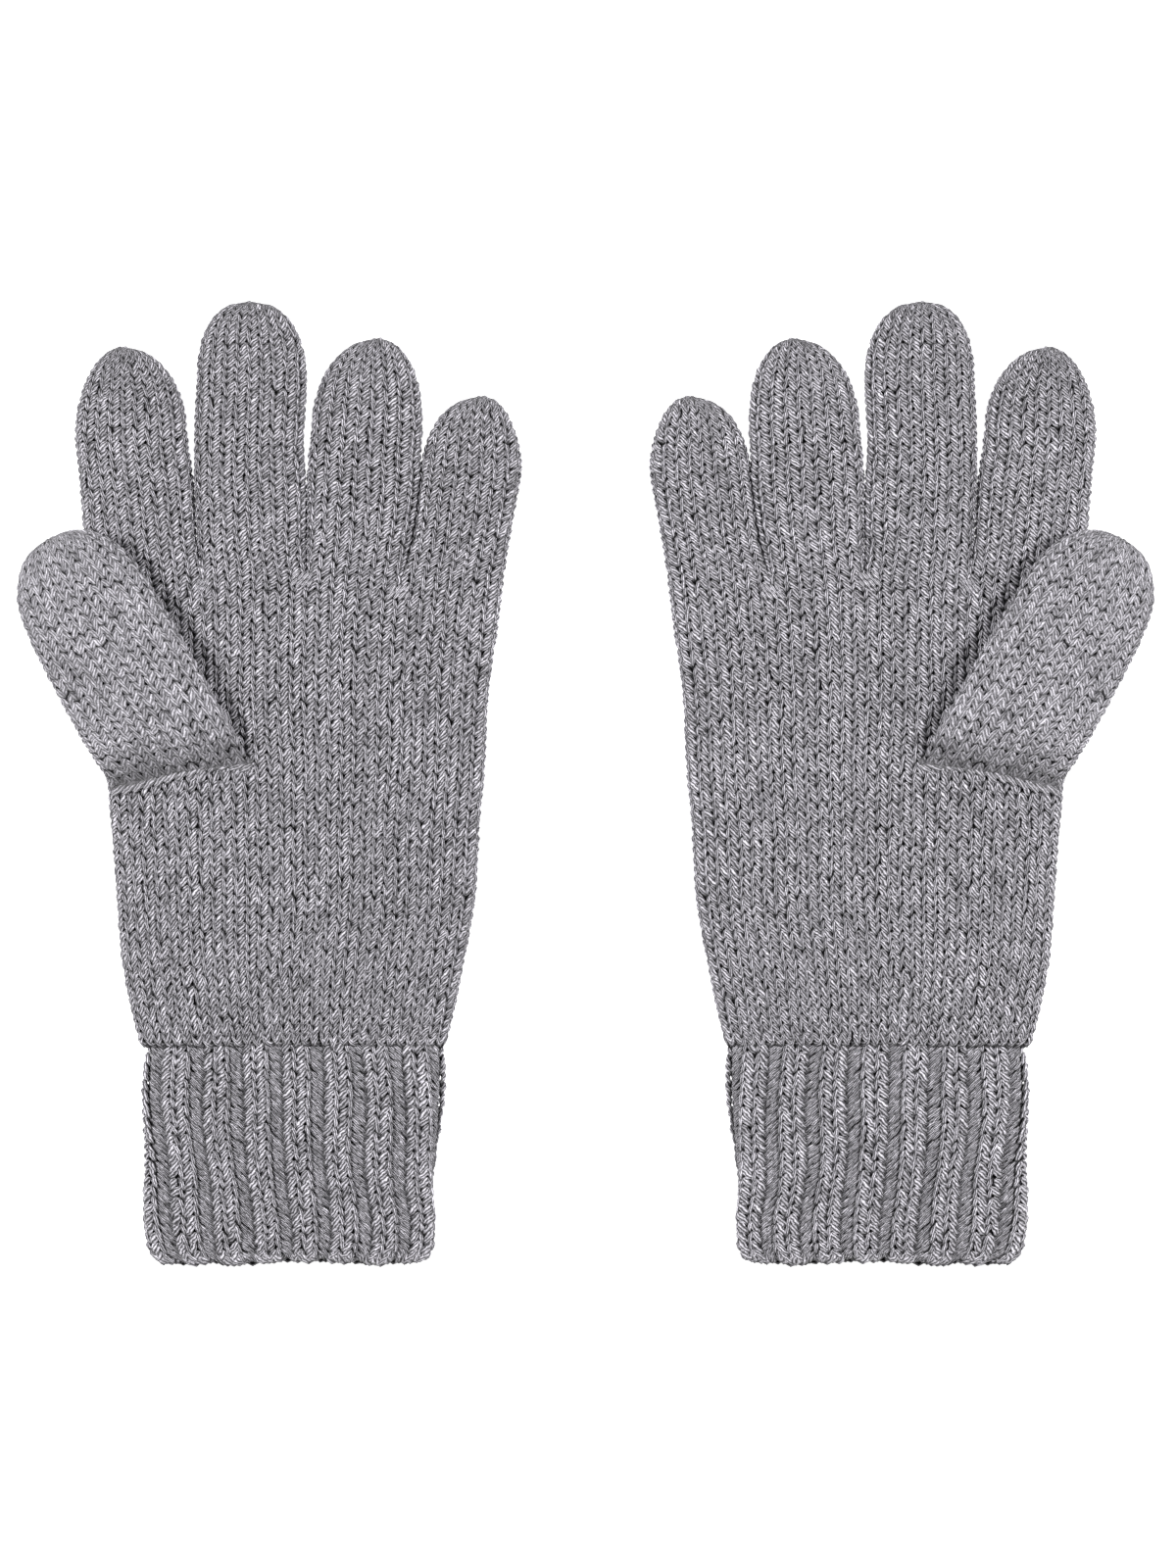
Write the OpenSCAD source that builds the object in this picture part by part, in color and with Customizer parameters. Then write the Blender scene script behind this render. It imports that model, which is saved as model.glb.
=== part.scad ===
// Pair of full-fingered knitted gloves, lying palm up on a table with the thumbs over the palms.
// X runs across the pair, Y from the cuffs to the fingertips, Z up out of the palms.
// The origin is on the table, at the middle of the pair. Heights up a glove, such as knuckle_y, are
// measured from the mouth of its cuff.
// Every tube is a hollow flattened sleeve, so its cavity is where the hand goes.

/* [Pair] */
// Distance between the centre lines of the two cuffs
cuff_spacing = 148.25; // [130:0.25:200]

/* [Fabric] */
// Height of a flattened glove lying on the table
sleeve_t = 12; // [11:0.5:16]
// Height of the thumb, which lies on the palm
thumb_t = 10.4; // [10:0.2:14]
// Thickness of one layer of knitted fabric
fabric_t = 2.2; // [1.5:0.1:2.5]

/* [Cuff] */
// Length of the ribbed cuff
cuff_len = 57; // [40:1:80]
// Width of the cuff at its mouth
cuff_mouth_w = 67.5; // [60:0.5:72]
// Width of the cuff above its rounded mouth
cuff_low_w = 74; // [70:0.5:76]
// Width of the cuff where it joins the hand
cuff_top_w = 77; // [74:0.5:80]

/* [Hand] */
// Distance from the cuff mouth to the knuckle line, where the fingers begin
knuckle_y = 172; // [165:0.5:176]
// Width of the hand at the knuckle line
knuckle_w = 105.4; // [104:0.2:108]
// Width of the hand at the base of the thumb
palm_w = 95.2; // [92:0.2:98]

/* [Fingers] */
// First fold of the index finger above the knuckle line, clear of the thumb that lies on its root
index_fold = 16; // [15.5:0.5:17]
// Bend at the middle joint of the index finger, above the knuckle line
index_bend = 32; // [28:1:34]
// Bend at the middle joint of the middle finger, above the knuckle line
middle_bend = 35; // [30:1:38]
// Bend at the middle joint of the ring finger, above the knuckle line
ring_bend = 31; // [28:1:34]
// Bend at the middle joint of the little finger, above the knuckle line
little_bend = 27; // [24:1:28]

/* [Thumb] */
// Length of the thumb from its base crease to its tip
thumb_len = 68; // [60:1:72]
// Width of the thumb at its base crease
thumb_w = 36; // [32:0.5:38]
// Width of the thumb below its rounded end
thumb_end_w = 34.4; // [31:0.4:35]
// Lean of the thumb away from the fingers, in degrees
thumb_lean = 29; // [25:0.5:32]
// Slope of the crease at the base of the thumb, in degrees
crease_slope = 9.8; // [6:0.2:12]
// Bend of the thumb above its base crease
thumb_bend = 36; // [32:1:40]

/* [Hidden] */
SIDES = ["left", "right"];
FINGERS = ["index", "middle", "ring", "little"];
DIGITS = concat(FINGERS, ["thumb"]);
GAPS = ["index_middle", "middle_ring", "ring_little"];
PARTS = concat(
    ["cuff", "cuff_join", "hand", "index_root", "thumb_join"],
    [for (digit = DIGITS) each [str(digit, "_base"), str(digit, "_tip"), str(digit, "_closing")]],
    [for (gap = GAPS) str(gap, "_join")]);

yarn_colour = [0.60, 0.59, 0.61];
join_colour = [0.52, 0.51, 0.53];

// Room between two sleeves that turn on each other
fold_gap = 0.4;
// Height of the yarn ring that links the cuff to the hand
join_len = 1.4;
slice_len = 0.01;
arc_steps = 28;
// Angles round a fingertip's quarter ellipse
TIP_STEPS = [0, 25, 48, 66, 79];
LAST_STEP = TIP_STEPS[len(TIP_STEPS) - 1];

// Hand outline as [y, left edge, right edge], from the cuff to the knuckles
hand_low = [[cuff_len + fold_gap, -39.3, 38.9], [70, -42.8, 41.5], [92, -45.3, 45.3],
    [122, 0.4 - palm_w / 2, 0.4 + palm_w / 2]];
hand_high = [[122, 0.4 - palm_w / 2, 0.4 + palm_w / 2],
    [knuckle_y - fold_gap, 0.3 - knuckle_w / 2, 0.3 + knuckle_w / 2]];

// Each finger: [left and right edge at the knuckle line, left and right edge at the shoulder
// of the tip, height of the shoulder, height of the tip, x of the tip, and its bend and its first
// fold above the knuckle line]
index_shape = [-52.4, -24.4, -55.7, -27.0, 215, 234.75, -43, index_bend, index_fold];
middle_shape = [-23.2, 3.1, -25.6, 3.2, 227, 246, -11, middle_bend, 0];
ring_shape = [3.5, 27.0, 4.6, 31.2, 217, 236.25, 20, ring_bend, 0];
little_shape = [29.9, 53, 31.6, 57.6, 203, 221.25, 46.5, little_bend, 0];
glove_len = middle_shape[5];

// Middle of the crease at the base of the thumb, and the thumb's height above the table
crease_x = -28.5;
crease_y = 125.25;
thumb_z = sleeve_t + fold_gap;
// Slot in the palm and window in the thumb's underside, which meet over each other
slot_len = 9;
slot_w = 20;
slot_start = 3;
// Thickness of the yarn that lines the slot, and length of the thumb's rounded end
seam_t = 0.8;
thumb_round = 20;
// Knot inside each fingertip
knot_d = 2.8;
knot_len = 1.5;

function shape_of(finger) = finger == "index" ? index_shape
    : finger == "middle" ? middle_shape
    : finger == "ring" ? ring_shape
    : little_shape;
function between(a, b, share) = a + (b - a) * share;

// Left and right edge of a finger at height y, up to the shoulder of its tip
function finger_edges(s, y) = let (share = (y - knuckle_y) / (s[4] - knuckle_y))
    [y, between(s[0], s[2], share), between(s[1], s[3], share)];

// Flat oval with round ends
module oval(w, t) {
    square([w - t, t], center = true);
    for (side = [-1, 1])
        translate([side * (w - t) / 2, 0])
            circle(d = t, $fn = arc_steps);
}

// Thin slice across a sleeve at height y, its underside at z = 0, shrunk by inset all round
module slice(y, left, right, t, inset = 0) {
    translate([(left + right) / 2, y, t / 2])
        rotate([90, 0, 0])
            linear_extrude(slice_len, center = true)
                oval(right - left - 2 * inset, t - 2 * inset);
}

// Sleeve through a list of [y, left, right]
module sleeve_body(outline, t, inset = 0) {
    hull()
        for (p = outline)
            slice(p[0], p[1], p[2], t, inset);
}

// The outline with its first and last slice moved by reach, so that a cavity runs out of both ends
function run_out(outline, reach) = [for (i = [0 : len(outline) - 1])
    [outline[i][0] + (i == 0 ? -reach : i == len(outline) - 1 ? reach : 0), outline[i][1], outline[i][2]]];

// Rounded end of a finger, from its shoulder to its tip
module tip_slices(left, right, shoulder, tip_y, tip_x, t, inset = 0) {
    tip_len = tip_y - shoulder - inset;
    half_w = (right - left) / 2 - inset;
    for (a = TIP_STEPS) {
        w = max(2 * half_w * cos(a), 4.2);
        tall = min((t - 2 * inset) * sqrt(cos(a)), w - 0.1);
        y = shoulder + tip_len * sin(a) / sin(LAST_STEP);
        translate([between((left + right) / 2, tip_x, 1 - cos(a)), y, t / 2])
            rotate([90, 0, 0])
                linear_extrude(slice_len, center = true)
                    oval(w, tall);
    }
}

// ---- Cuff, hand and the yarn joins between them, for the left glove ----

// Elastic ribbed sleeve round the wrist
module cuff() {
    rounded_mouth = [[0, -cuff_mouth_w / 2 - 1.2, cuff_mouth_w / 2 - 1.2],
        [3, -cuff_low_w / 2 - 1.1, cuff_low_w / 2 - 1.1], [8, -cuff_low_w / 2 - 1.2, cuff_low_w / 2 - 1.2],
        [cuff_len - fold_gap, -cuff_top_w / 2, cuff_top_w / 2]];
    color(yarn_colour)
        difference() {
            sleeve_body(rounded_mouth, sleeve_t);
            sleeve_body(run_out(rounded_mouth, 1), sleeve_t, fabric_t);
        }
}

// Sleeve of the palm and the back of the hand, with a slot for the thumb
module hand() {
    start = [hand_low[0][0] + join_len + slice_len, hand_low[0][1], hand_low[0][2]];
    low = [start, hand_low[1], hand_low[2], hand_low[3]];
    color(yarn_colour)
        difference() {
            union() {
                sleeve_body(low, sleeve_t);
                sleeve_body(hand_high, sleeve_t);
            }
            sleeve_body([[start[0] - 1, start[1], start[2]], low[1], low[2], low[3]], sleeve_t, fabric_t);
            sleeve_body(run_out(hand_high, 1), sleeve_t, fabric_t);
            thumb_slot(0);
        }
}

// Ring of yarn that links the cuff to the hand
module cuff_join() {
    y = hand_low[0][0];
    w = hand_low[0][2] - hand_low[0][1];
    color(join_colour)
        translate([(hand_low[0][1] + hand_low[0][2]) / 2, y + join_len, sleeve_t / 2])
            rotate([90, 0, 0])
                linear_extrude(join_len)
                    difference() {
                        oval(w, sleeve_t);
                        oval(w - 2 * fabric_t, sleeve_t - 2 * fabric_t);
                    }
}

// Post of stitches that closes the gap between two fingers, from the back of the hand to the palm
module gap_join(gap) {
    x = gap == "index_middle" ? -23.8 : gap == "middle_ring" ? 3.3 : 28.4;
    color(join_colour)
        translate([x, knuckle_y - 3, fabric_t])
            cylinder(d = 3, h = sleeve_t - 2 * fabric_t, $fn = 32);
}

// ---- Fingers ----

// Stretch of a finger between two heights, open at both ends
module finger_tube(s, low, high) {
    color(yarn_colour)
        difference() {
            sleeve_body([finger_edges(s, low), finger_edges(s, high)], sleeve_t);
            sleeve_body([finger_edges(s, low - 1), finger_edges(s, high + 1)], sleeve_t, fabric_t);
        }
}

// Root of the index finger under the thumb, standing on the hand
module index_root() {
    finger_tube(index_shape, knuckle_y - fold_gap + slice_len, knuckle_y + index_fold - fold_gap);
}

// Finger from its first fold to its middle joint
module finger_base(finger) {
    s = shape_of(finger);
    finger_tube(s, knuckle_y + s[8] + fold_gap, knuckle_y + s[7] - fold_gap);
}

// Finger from its middle joint to its closed tip
module finger_tip(finger) {
    s = shape_of(finger);
    low = knuckle_y + s[7] + fold_gap;
    color(yarn_colour)
        difference() {
            hull() {
                sleeve_body([finger_edges(s, low)], sleeve_t);
                tip_slices(s[2], s[3], s[4], s[5], s[6], sleeve_t);
            }
            hull() {
                sleeve_body([finger_edges(s, low - 1)], sleeve_t, fabric_t);
                tip_slices(s[2], s[3], s[4], s[5], s[6], sleeve_t, fabric_t);
            }
        }
}

// Knot of yarn inside a fingertip that draws its last loops together, on the end wall of the cavity
module closing_knot(x, tip_y, tip_x, t) {
    color(join_colour)
        translate([between(x, tip_x, 1 - cos(LAST_STEP)), tip_y - fabric_t, t / 2])
            rotate([90, 0, 0])
                cylinder(d = knot_d, h = knot_len, $fn = 32);
}

module finger_closing(finger) {
    s = shape_of(finger);
    closing_knot((s[2] + s[3]) / 2, s[5], s[6], sleeve_t);
}

// ---- Thumb, drawn along Y from the middle of its base crease, then leaned over ----

module lean_thumb() {
    translate([crease_x, crease_y, thumb_z])
        rotate([0, 0, thumb_lean])
            children();
}

// Half the thumb's width at height y above its crease
function thumb_half(y) = between(thumb_w, thumb_end_w, y / (thumb_len - thumb_round)) / 2;

module thumb_slice(y, inset = 0) {
    slice(y, -thumb_half(y), thumb_half(y), thumb_t, inset);
}

module thumb_round_end(inset = 0) {
    half_w = thumb_end_w / 2;
    tip_slices(-half_w, half_w, thumb_len - thumb_round, thumb_len, 0, thumb_t, inset);
}

// Slice through the thumb along its base crease, moved up the thumb by reach
module crease_slice(reach, inset = 0) {
    skew = thumb_lean - crease_slope;
    half_w = thumb_w / 2 / cos(skew);
    translate([0, reach, 0])
        rotate([0, 0, -skew])
            slice(0, -half_w, half_w, thumb_t, inset);
}

// Opening between the palm and the thumb, narrowed by trim on each side
module thumb_slot(trim) {
    translate([crease_x, crease_y, sleeve_t - fabric_t - 1])
        rotate([0, 0, crease_slope])
            translate([-slot_w / 2 + trim, slot_start + trim, 0])
                cube([slot_w - 2 * trim, slot_len - 2 * trim, fabric_t + 6]);
}

// Thumb from its base crease to its joint, open underneath over the slot in the palm
module thumb_base() {
    color(yarn_colour)
        difference() {
            lean_thumb()
                hull() {
                    crease_slice(fold_gap);
                    thumb_slice(thumb_bend - fold_gap);
                }
            lean_thumb()
                hull() {
                    crease_slice(fold_gap - 1, fabric_t);
                    thumb_slice(thumb_bend + 1, fabric_t);
                }
            thumb_slot(seam_t);
        }
}

// Thumb from its joint to its closed tip
module thumb_tip() {
    color(yarn_colour)
        difference() {
            lean_thumb()
                hull() {
                    thumb_slice(thumb_bend + fold_gap);
                    thumb_round_end();
                }
            lean_thumb()
                hull() {
                    thumb_slice(thumb_bend - 1, fabric_t);
                    thumb_round_end(fabric_t);
                }
        }
}

module thumb_closing() {
    lean_thumb()
        closing_knot(0, thumb_len, 0, thumb_t);
}

// Yarn round the slot that links the thumb to the palm
module thumb_join() {
    color(join_colour)
        intersection() {
            difference() {
                thumb_slot(0);
                thumb_slot(seam_t);
            }
            translate([-100, 0, sleeve_t - fabric_t])
                cube([200, 200, fabric_t]);
        }
}

// ---- The pair ----

module left_part(part) {
    if (part == "cuff") cuff();
    if (part == "cuff_join") cuff_join();
    if (part == "hand") hand();
    if (part == "index_root") index_root();
    if (part == "thumb_join") thumb_join();
    if (part == "thumb_base") thumb_base();
    if (part == "thumb_tip") thumb_tip();
    if (part == "thumb_closing") thumb_closing();
    for (finger = FINGERS) {
        if (part == str(finger, "_base")) finger_base(finger);
        if (part == str(finger, "_tip")) finger_tip(finger);
        if (part == str(finger, "_closing")) finger_closing(finger);
    }
    for (gap = GAPS)
        if (part == str(gap, "_join")) gap_join(gap);
}

// One part of one glove: the right glove is the left one mirrored
module glove_part(side, part) {
    mirror([side == "right" ? 1 : 0, 0, 0])
        translate([-cuff_spacing / 2, -glove_len / 2, 0])
            left_part(part);
}

for (side = SIDES)
    for (part = PARTS)
        glove_part(side, part);
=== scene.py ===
import math

import bpy
import numpy as np
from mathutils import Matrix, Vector


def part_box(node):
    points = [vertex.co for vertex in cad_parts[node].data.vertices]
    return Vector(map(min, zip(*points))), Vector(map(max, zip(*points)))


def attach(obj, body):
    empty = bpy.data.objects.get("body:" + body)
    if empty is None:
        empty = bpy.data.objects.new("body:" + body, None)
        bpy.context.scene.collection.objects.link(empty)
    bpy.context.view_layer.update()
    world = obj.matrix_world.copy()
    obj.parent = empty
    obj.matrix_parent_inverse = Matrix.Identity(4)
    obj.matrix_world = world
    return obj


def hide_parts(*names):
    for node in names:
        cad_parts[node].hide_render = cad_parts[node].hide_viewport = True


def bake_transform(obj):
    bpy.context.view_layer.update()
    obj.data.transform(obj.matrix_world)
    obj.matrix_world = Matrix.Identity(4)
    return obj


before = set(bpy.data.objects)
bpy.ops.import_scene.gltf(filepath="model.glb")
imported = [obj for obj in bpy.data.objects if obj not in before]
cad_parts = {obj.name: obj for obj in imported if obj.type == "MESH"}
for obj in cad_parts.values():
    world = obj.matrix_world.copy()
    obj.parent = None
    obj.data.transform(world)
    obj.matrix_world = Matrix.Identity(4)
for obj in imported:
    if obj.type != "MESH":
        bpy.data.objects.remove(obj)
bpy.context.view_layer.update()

# A pair of full-fingered knitted gloves, knitted stitch by stitch round the sleeves of the frame.
# Places on a glove are in millimetres from the middle of its cuff's mouth: X across the palm, Y from
# the cuff to the fingertips, Z up out of the palm. The right glove is the left one mirrored.

MM = 0.001

cuff_low, cuff_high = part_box("left_cuff")
ORIGIN = np.array([(cuff_low.x + cuff_high.x) / 2, cuff_low.y, 0])


def cad(node, corner, axis):
    """One side of a CAD node's box (corner 0 is lowest, 1 highest), in glove millimetres."""
    return float((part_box("left_" + node)[corner][axis] - ORIGIN[axis]) / MM)


HEM_Y = cad("hand", 0, 1)
KNUCKLE_Y = cad("hand", 1, 1)
GLOVE_T = cad("hand", 1, 2)
THUMB_LOW = cad("thumb_base", 0, 2)
THUMB_HIGH = cad("thumb_base", 1, 2)

# Height of the palm's fabric where the thumb grows out of it
PALM_TOP = GLOVE_T - 0.9

# How far the middle of the fabric lies inside the outline, and inside the hand's side edges
PROUD = 0.95
HAND_EDGE = 0.55

# Width and height of a full-sized stitch
WALE = 3.3
ROW = 2.2

# ---- Curves and noise ----


def curve(*points):
    """Smooth function through (place, value) pairs, level beyond its ends."""
    places, values = np.array(points, float).T
    slopes = np.gradient(values, places)

    def at(x):
        x = np.clip(x, places[0], places[-1])
        i = np.clip(np.searchsorted(places, x) - 1, 0, len(places) - 2)
        span = places[i + 1] - places[i]
        t = (x - places[i]) / span
        rise = values[i + 1] - values[i]
        a = slopes[i] * span - rise
        b = rise - slopes[i + 1] * span
        return values[i] + rise * t + t * (1 - t) * (a * (1 - t) + b * t)

    return at


def smooth(t):
    t = np.clip(t, 0, 1)
    return t * t * (3 - 2 * t)


def unevenness(points, seed, size, amount):
    """Slow unevenness of the fabric at some points: a few waves of about that size and height."""
    chance = np.random.default_rng(seed)
    total = np.zeros(points.shape[:-1])
    for wave in range(5):
        direction = chance.normal(size=3)
        direction /= np.linalg.norm(direction) * size * (0.7 + 0.2 * wave)
        total += np.sin(points @ direction * 2 * math.pi + chance.uniform(0, 6.28))
    return total * amount / 3


# ---- Sleeves: the surfaces that the stitches lie on ----


def flat_ring(left, right, low, high, roundness, around):
    """Ring of a flattened tube from its left edge over the palm side, its points evenly spaced."""
    turn = np.linspace(0, 2 * math.pi, 361)
    power = 2 / roundness
    x = -np.sign(np.cos(turn)) * np.abs(np.cos(turn)) ** power
    z = np.sign(np.sin(turn)) * np.abs(np.sin(turn)) ** power
    x = (left + right) / 2 + x * (right - left) / 2
    z = (low + high) / 2 + z * (high - low) / 2
    length = np.concatenate([[0], np.cumsum(np.hypot(np.diff(x), np.diff(z)))])
    spots = np.linspace(0, length[-1], around + 1)[:-1]
    return np.stack([np.interp(spots, length, x), np.interp(spots, length, z)], axis=1)


class Sleeve:
    """A knitted tube of so many columns and rows, as rings of points up its length."""

    # Points of a ring for each column
    fine = 4

    def __init__(self, rings, columns, rows, wale=WALE, offset=0.0):
        self.points = rings
        self.columns = columns
        self.rows = rows
        self.offset = offset
        across = np.roll(rings, -1, axis=1) - np.roll(rings, 1, axis=1)
        along = np.gradient(rings, axis=0)
        normal = np.cross(across, along)
        self.normals = normal / np.maximum(np.linalg.norm(normal, axis=2, keepdims=True), 1e-9)
        step = np.linalg.norm(across, axis=2) / 2 * rings.shape[1] / columns
        self.scale = np.clip(step / wale, 0.2, 1.15)

    def place(self, column, row, height):
        """Points at that column, row and height off the middle of the fabric."""
        stations, around = self.points.shape[:2]
        u = np.mod(column / self.columns, 1) * around
        v = row / self.rows * (stations - 1)
        i = np.minimum(u.astype(int), around - 1)
        j = np.clip(np.floor(v).astype(int), 0, stations - 2)
        fu = (u - i)[..., None]
        fv = (v - j)[..., None]
        near = (i + 1) % around

        def blend(grid, fv):
            low = grid[j, i] * (1 - fu) + grid[j, near] * fu
            high = grid[j + 1, i] * (1 - fu) + grid[j + 1, near] * fu
            return low * (1 - fv) + high * fv

        held = np.clip(fv, 0, 1)
        normal = blend(self.normals, held)
        scale = blend(self.scale[..., None], held)
        return blend(self.points, fv) + normal * height[..., None] * scale


def row_places(start, end, pitch):
    """Places of the rows from start to end, their spacing following a function of the place."""
    places = [start]
    while places[-1] < end:
        places.append(places[-1] + float(pitch(places[-1])))
    places = np.array(places)
    return start + (places - start) * (end - start) / (places[-1] - start)


# The hand's outline up the palm, and the height of its rows
HAND_START = 57
hand_left = curve(
    (HAND_START, -39.3), (63, -41.2), (72, -43.0), (90, -45.0), (122, -47.6), (172, -52.6), (190, -53.6))
hand_right = curve(
    (HAND_START, 38.9), (63, 40.2), (72, 42.0), (90, 45.4), (122, 48.0), (160, 51.2), (172, 53.1),
    (190, 55.4))
hand_pitch = curve((HAND_START, 2.36), (130, 2.33), (165, 2.1), (172, 2.05))
HAND_COLUMNS = 66
PALM_COLUMNS = HAND_COLUMNS // 2

# Half a column at each side of the hand, so that its columns run on into the fingers
SIDE_COLUMN = 0.5

# How square the flattened tubes are: 2 is an ellipse
HAND_SQUARE = 4.2
CUFF_SQUARE = 3.6
FINGER_SQUARE = 2.9
THUMB_SQUARE = 3.0


def hand_ring(y, around):
    """The hand's flattened ring at height y: x and z."""
    hem = 1 - smooth((y - HAND_START) / 5)
    low = PROUD + 0.1 + 0.9 * hem
    high = GLOVE_T - PROUD - 0.1 - 0.5 * hem
    return flat_ring(hand_left(y) + HAND_EDGE, hand_right(y) - HAND_EDGE, low, high, HAND_SQUARE, around)


def ring_at(ring, share):
    """Point of a closed ring at a share of the way round."""
    around = len(ring)
    u = np.mod(share, 1) * around
    i = u.astype(int) % around
    f = (u - np.floor(u))[:, None]
    return ring[i] * (1 - f) + ring[(i + 1) % around] * f


def dress(rings, seed):
    """Gives the rings of a sleeve the slow unevenness of real fabric."""
    rings = rings.copy()
    rings[..., 0] += unevenness(rings, seed, 34, 0.35)
    rings[..., 1] += unevenness(rings, seed + 1, 26, 0.45)
    middle = (rings[..., 2].max() + rings[..., 2].min()) / 2
    upper = smooth((rings[..., 2] - middle) / 2)
    rings[..., 2] += upper * (unevenness(rings, seed + 2, 22, 0.4) - 0.3)
    return rings


# Line of the thumb's base crease over the palm
THUMB_CREASE = np.array([
    (-46.3, 121.9), (-39.75, 122.9), (-35, 124.4), (-26.5, 126.7), (-17.9, 128.9), (-10.8, 127.6)])


def crease_lip(rings):
    """Raises the palm's fabric along the near side of the thumb's crease and draws it in at the crease."""
    x, y = rings[..., 0], rings[..., 1]
    below = np.interp(x, *THUMB_CREASE.T) - y
    inside = smooth((x + 50) / 4) * smooth((-7 - x) / 4) * smooth((rings[..., 2] - GLOVE_T / 2) / 2)
    lip = 0.8 * np.exp(-((below - 3.2) / 2.2) ** 2)
    groove = 1.5 * np.exp(-(below / 1.6) ** 2)
    rings[..., 2] += inside * (lip - groove)


def hand_sleeve():
    """The hand's tube, from under the cuff's hem to the knuckles."""
    rows = row_places(HAND_START, KNUCKLE_Y + 0.4, hand_pitch)
    stations = np.interp(np.linspace(0, len(rows) - 1, 2 * len(rows) - 1), np.arange(len(rows)), rows)
    around = HAND_COLUMNS * Sleeve.fine
    rings = []
    for y in stations:
        ring = hand_ring(y, around)
        rings.append(np.stack([ring[:, 0], np.full(around, y), ring[:, 1]], axis=1))
    rings = dress(np.array(rings), 11)
    crease_lip(rings)
    return Sleeve(rings, HAND_COLUMNS, len(rows) - 1, offset=-SIDE_COLUMN)


# Each finger: its left and right edge, the shoulder where its tip begins to round, its tip, the
# tip's place across, how square the tip is, the columns on its palm side, the columns down each
# side, the hand's column that its palm side starts from, which side of it is an outer side of the
# hand, and dimples near its tip (place across and along, size, depth)
FINGERS = {
    "index": dict(
        left=curve((172, -52.6), (188, -53.6), (203, -54.8), (212, -55.6)),
        right=curve((172, -23.6), (190, -25.2), (212, -27.1)),
        shoulder=210.5, tip_y=235.1, tip_x=-44.3, square=2.05, front=9, side=1, start=0,
        outer="left"),
    "middle": dict(
        left=curve((172, -23.6), (190, -25.0), (212, -26.1), (226, -25.4)),
        right=curve((172, 2.9), (212, 3.2), (226, 3.5)),
        shoulder=225, tip_y=246, tip_x=-11, square=2.35, front=8, side=2, start=9,
        dimples=((-6.5, 237.5, 4.5, 1.5),)),
    "ring": dict(
        left=curve((172, 2.9), (200, 3.4), (213, 4.2)),
        right=curve((172, 26.9), (186, 29.8), (200, 32.1), (213, 33.1)),
        shoulder=212.5, tip_y=236.9, tip_x=21.6, square=2.15, front=7, side=2, start=17,
        dimples=((21, 231, 4, 1.4),)),
    "little": dict(
        left=curve((172, 26.9), (186, 29.8), (201, 32.3)),
        right=curve((172, 53.1), (188, 55.4), (202, 57.9)),
        shoulder=201.5, tip_y=221.7, tip_x=48.4, square=2.2, front=8, side=1, start=24,
        outer="right"),
}
FINGER_ROW = 1.98

# How far up a finger its ring turns from the hand's own shape into a tube
ROOT_LENGTH = 13


def root_ring(finger, y, columns, around):
    """Ring where a finger grows out of the hand: the hand's own columns, and walls between fingers."""
    hand = hand_ring(y, HAND_COLUMNS * Sleeve.fine)
    front, start, side = finger["front"], finger["start"], finger["side"]
    column = np.arange(around) / around * columns
    first = side / 2
    last = first + front
    back_first = last + side
    back_last = back_first + front
    left = start + SIDE_COLUMN
    right = left + front
    top = ring_at(hand, np.interp(column, [first, last], [left, right]) / HAND_COLUMNS)
    back = HAND_COLUMNS - np.interp(column, [back_first, back_last], [right, left])
    below = ring_at(hand, back / HAND_COLUMNS)
    ring = np.where((column <= last)[:, None], top, below)

    def corner(share):
        return ring_at(hand, np.array([share]))[0]

    top_left, top_right = corner(left / HAND_COLUMNS), corner(right / HAND_COLUMNS)
    low_left, low_right = corner(1 - left / HAND_COLUMNS), corner(1 - right / HAND_COLUMNS)
    outer = finger.get("outer")
    edge_left = np.array([hand_left(y) + HAND_EDGE if outer == "left" else top_left[0], GLOVE_T / 2])
    edge_right = np.array([hand_right(y) - HAND_EDGE if outer == "right" else top_right[0], GLOVE_T / 2])
    walls = (
        (0, first, edge_left, top_left),
        (last, last + first, top_right, edge_right),
        (last + first, back_first, edge_right, low_right),
        (back_last, columns, low_left, edge_left))
    for begin, end, a, b in walls:
        inside = (column >= begin) & (column <= end)
        share = ((column[inside] - begin) / (end - begin))[:, None]
        ring[inside] = a * (1 - share) + b * share
    return ring


def tip_profile(shoulder, tip, square):
    """Places along a rounded tip, each with its share of the full width."""
    turn = np.linspace(0, math.radians(89), 60)
    reach = shoulder + (tip - shoulder) * np.sin(turn) ** (2 / square)
    width = np.cos(turn) ** (2 / square)
    return reach, width


def tip_thickness(share):
    """Share of the full thickness where a rounded tip has that share of its width."""
    return min(1, (1 - (1 - share) ** 2.2) ** 0.75)


def digit_stations(start, shoulder, tip, square, spread, row):
    """Places of a digit's rings, two to a row, each with its share of the full width, and how many
    rows there are. spread is how far the fabric runs inwards as the tip rounds."""
    reach, width = tip_profile(shoulder, tip, square)
    straight = np.linspace(start, shoulder, 60)[:-1]
    places = np.concatenate([straight, reach])
    widths = np.concatenate([np.ones(len(straight)), width])
    steps = np.hypot(np.diff(places), spread * np.diff(widths))
    length = np.concatenate([[0], np.cumsum(steps)])
    rows = int(round(length[-1] / row))
    along = np.linspace(0, length[-1], 2 * rows + 1)
    return np.interp(along, length, places), np.interp(along, length, widths), rows


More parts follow.
